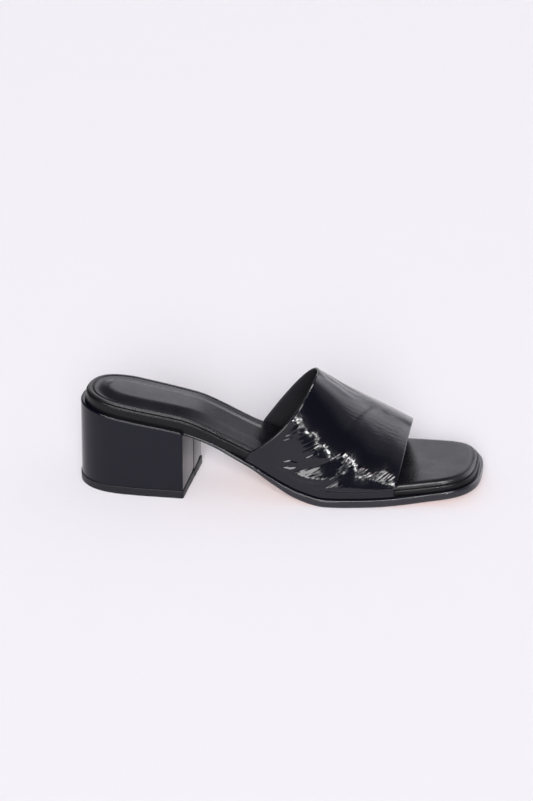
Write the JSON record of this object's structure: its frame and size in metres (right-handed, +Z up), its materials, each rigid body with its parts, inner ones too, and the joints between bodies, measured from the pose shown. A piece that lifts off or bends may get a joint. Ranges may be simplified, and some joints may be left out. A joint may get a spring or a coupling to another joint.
{
  "type": "block-heel mule",
  "caption": "Women's open-toed slip-on mule for the right foot: one wide patent vamp band, padded footbed and a covered block heel.",
  "frame": {"origin": "on the floor, in the middle of the heel's tread", "axes": "+X runs from the heel to the toe, +Y to the wearer's left (the big-toe side of this right shoe) and +Z up"},
  "size_m": [0.252, 0.0957, 0.078],
  "materials": {
    "outsole": "black inked edge, tan underside",
    "footbed": "smooth black wrap",
    "sock": "soft black nappa, padded and stitched",
    "vamp": "crinkled black patent",
    "heel_block": "smooth black patent cover",
    "top_lift": "matt black"
  },
  "bodies": {
    "root": {"outsole": "outsole", "footbed": "footbed", "sock": "sock", "vamp": "vamp", "heel_block": "heel_block", "top_lift": "top_lift"}
  },
  "joints": []
}
